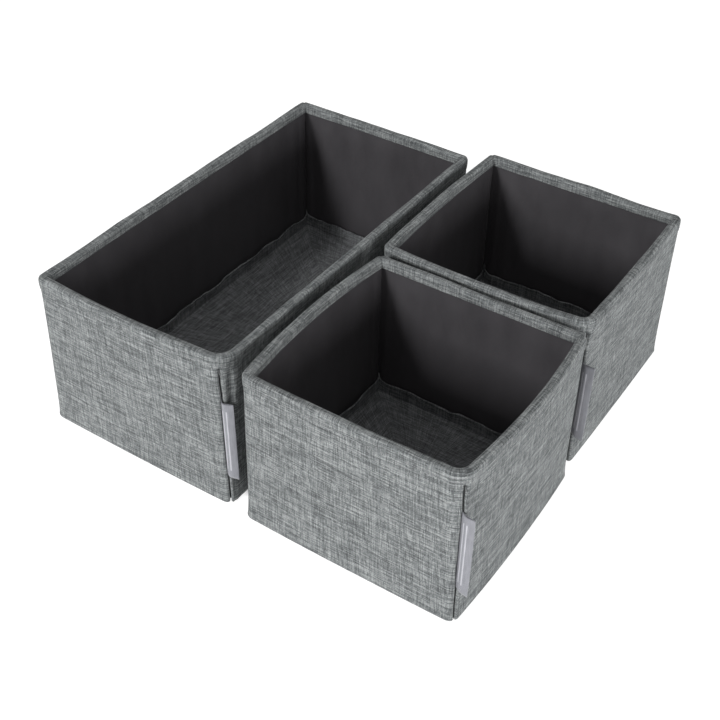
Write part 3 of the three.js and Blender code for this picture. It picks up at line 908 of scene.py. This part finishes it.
def label(name, box):
    """A folded ribbon without lettering, caught in the corner seam."""
    rows = []
    shares = np.linspace(0, 1, 41)
    for share in shares:
        stations = label_path(box, share)
        openness = 0.1 + 0.22 * (2 * share - 1) ** 4
        near, far = [], []
        for i, (point, angle) in enumerate(stations):
            across = np.array([-math.sin(angle), math.cos(angle)])
            out = i / (len(stations) - 1)
            gap = LABEL_FOLD / 2 + openness * math.sin(math.pi * min(1.0, max(0.0, (out - 0.35) / 0.65))) ** 2
            near.append(point + across * gap)
            far.append(point - across * gap)
        tip, angle = stations[-1]
        ahead = np.array([math.cos(angle), math.sin(angle)])
        across = np.array([-ahead[1], ahead[0]])
        fold = [tip + LABEL_FOLD / 2 * (across * math.cos(t) + ahead * math.sin(t) * 1.3)
                for t in np.radians((36, 72, 108, 144))]
        plan = np.array([*near, *fold, *far[::-1]])
        droop = np.concatenate([np.linspace(0, 1, len(near)), [1.0] * len(fold), np.linspace(1, 0, len(far))])
        sag = 2.2 * droop**2 * (1 - share) + 0.5 * droop * share
        rows.append(np.column_stack([plan, box["label_bottom"] + LABEL_HEIGHT * share - sag]))
    steps = np.linalg.norm(np.diff(rows[len(rows) // 2][:, :2], axis=0), axis=1)
    u = np.concatenate([[0.0], np.cumsum(steps)])
    piece = grid_piece(f"{name}_label_ribbon", rows, u, shares * LABEL_HEIGHT, box_centre(name))
    thicken(piece, RIBBON_CLOTH)
    finish_piece(piece, RIBBON, f"{name}_box", [f"{name}_label"])


SEAM_TOP = 91.0
LOOSE_THREAD_RADIUS = 0.12


def loose_threads(name, box):
    """Thread ends left at the top of the corner seam."""
    radius, centre, normal, tangent = seam_frame(box, SEAM_TOP)
    rng = random.Random(box["seed"])
    paths = []
    for _ in range(3):
        start = centre + normal * (radius - 1.2)
        drift = rng.uniform(0.3, 1.0)
        path = []
        for i in range(9):
            share = i / 8
            out = 1.6 * math.sin(share * 2.4) * rng.uniform(0.95, 1.05)
            side = drift * 3.0 * share**1.5
            flat = start + normal * out + tangent * side
            path.append((flat[0], flat[1], SEAM_TOP - 6.0 * share * drift - 1.2 * math.sin(share * 3)))
        paths.append(path)
    piece = tubes_piece(f"{name}_seam_threads", paths, LOOSE_THREAD_RADIUS, box_centre(name))
    finish_piece(piece, THREAD, f"{name}_box")


for box_name, box_values in BOXES.items():
    outer_cover(box_name, box_values)
    rim_binding(box_name, box_values)
    rim_stitching(box_name, box_values)
    lining(box_name, box_values)
    base_cloth(box_name, box_values)
    insert_cloth(box_name, box_values)
    label(box_name, box_values)
    loose_threads(box_name, box_values)

for node_name, node in frame["nodes"].items():
    if node_name.endswith("_board"):
        node.data.materials.clear()
        node.data.materials.append(BOARD)


# ---------------------------------------------------------------- stage, light and camera

FLOOR_HALF, FLOOR_LEVEL = 60.0, -0.0005
FLOOR_GREY, FLOOR_GLOW = 0.3, 0.9
# edges of the painted shade on the floor in the gap: its side fade, its end fade and how far inside the set's
# outline it stops
GAP_FADE, GAP_END_FADE, GAP_END_MARGIN = 0.003, 0.01, 0.012
LOW_SKY, ZENITH_SKY = 0.3, 0.5  # the world is white at the horizon and below, and darkest just above it
LAMP_TARGET = (0, 0, 0.05)
# name, place, width, height and power
LAMPS = (("key", (-0.5, -2.0, 0.96), 0.15, 0.6, 38), ("right_fill", (2.0, -0.6, 0.35), 1.2, 0.6, 27))


def studio_floor():
    """A grey plane that glows to near white, but not in the gap between the long box and the short ones,
    where its unglowing grey is painted shade added to the real shade there.
    """
    mesh = bpy.data.meshes.new("studio_floor")
    corners = ((-1, -1), (1, -1), (1, 1), (-1, 1))
    mesh.from_pydata([(x * FLOOR_HALF, y * FLOOR_HALF, FLOOR_LEVEL) for x, y in corners], [], [(0, 1, 2, 3)])
    floor = link_piece("studio_floor", mesh)
    s = Shader("white_sweep")
    split = s.node("ShaderNodeSeparateXYZ")
    s.plug(split.inputs[0], s.node("ShaderNodeTexCoord").outputs["Object"])
    long_side = box_centre("long")[0] + BOXES["long"]["width"] / 2 * MM
    small_side = box_centre("small_front")[0] - BOXES["small_front"]["width"] / 2 * MM
    gap_half = (small_side - long_side) / 2
    # painted shade: the floor gives no glow in the gap between the long box and the short ones, so the gap
    # shows dark
    from_gap = s.math("ABSOLUTE", s.math("SUBTRACT", split.outputs[0], (long_side + small_side) / 2))
    beside_gap = s.spread(from_gap, gap_half, gap_half + GAP_FADE)
    gap_end = cad_bounds[1][1] - GAP_END_MARGIN
    past_gap = s.spread(s.math("ABSOLUTE", split.outputs[1]), gap_end - GAP_END_FADE, gap_end)
    glow_with_painted_gap_shade = s.math("MULTIPLY", s.math("MAXIMUM", beside_gap, past_gap), FLOOR_GLOW)
    grey = (FLOOR_GREY, FLOOR_GREY, FLOOR_GREY, 1.0)
    mesh.materials.append(s.finish({"Base Color": grey, "Roughness": 1.0, "Specular IOR Level": 0.0,
                                    "Emission Color": (1.0, 1.0, 1.0, 1.0), "Emission Strength": glow_with_painted_gap_shade}))


def area_light(name, place, width, height, power):
    data = bpy.data.lights.new(name, "AREA")
    data.shape = "RECTANGLE"
    data.size = width
    data.size_y = height
    data.energy = power
    lamp = bpy.data.objects.new(name, data)
    bpy.context.scene.collection.objects.link(lamp)
    lamp.location = place
    lamp.rotation_mode = "QUATERNION"
    lamp.rotation_quaternion = (Vector(LAMP_TARGET) - Vector(place)).to_track_quat("-Z", "Y")


def studio():
    """The floor, the lamps and a world whose grey depends on the height looked at."""
    studio_floor()
    for lamp in LAMPS:
        area_light(*lamp)
    world = bpy.data.worlds.new("studio_air")
    world.use_nodes = True
    tree = world.node_tree
    height = tree.nodes.new("ShaderNodeSeparateXYZ")
    tree.links.new(tree.nodes.new("ShaderNodeTexCoord").outputs["Generated"], height.inputs[0])
    fade = tree.nodes.new("ShaderNodeValToRGB")
    tree.links.new(height.outputs["Z"], fade.inputs[0])
    stops = ((0.0, 1.0), (0.06, 1.0), (0.16, LOW_SKY), (0.7, ZENITH_SKY))
    while len(fade.color_ramp.elements) < len(stops):
        fade.color_ramp.elements.new(0.5)
    for element, (place, level) in zip(fade.color_ramp.elements, stops):
        element.position = place
        element.color = (level, level, level, 1.0)
    background = tree.nodes["Background"]
    tree.links.new(fade.outputs["Color"], background.inputs["Color"])
    bpy.context.scene.world = world
    bpy.context.scene.view_settings.view_transform = "Standard"


AZIMUTH, ELEVATION, ROLL = 32.58, 39.45, 1.37  # degrees
CAMERA_DISTANCE = 0.679
CAMERA_TARGET = (0.08603, -0.03232, 0.05)  # from the foot of the long box's middle
SENSOR_WIDTH, FOCAL_LENGTH = 36.0, 60.21  # millimetres


def photo_camera():
    """The camera stands to the front right of the set and looks down on it, with a slight roll."""
    azimuth, elevation, roll = (math.radians(a) for a in (AZIMUTH, ELEVATION, ROLL))
    target = Vector(box_centre("long")) + Vector(CAMERA_TARGET)
    back = Vector((math.sin(azimuth) * math.cos(elevation), -math.cos(azimuth) * math.cos(elevation),
                   math.sin(elevation)))
    right = Vector((math.cos(azimuth), math.sin(azimuth), 0.0))
    up = back.cross(right)
    tilted_right = math.cos(roll) * right + math.sin(roll) * up
    tilted_up = math.cos(roll) * up - math.sin(roll) * right
    data = bpy.data.cameras.new("camera")
    data.sensor_width = SENSOR_WIDTH
    data.lens = FOCAL_LENGTH
    data.clip_start = 0.01
    camera = bpy.data.objects.new("camera", data)
    turn = Matrix((tilted_right, tilted_up, back)).transposed()
    camera.matrix_world = Matrix.Translation(target + back * CAMERA_DISTANCE) @ turn.to_4x4()
    bpy.context.scene.collection.objects.link(camera)
    bpy.context.scene.camera = camera


studio()
photo_camera()
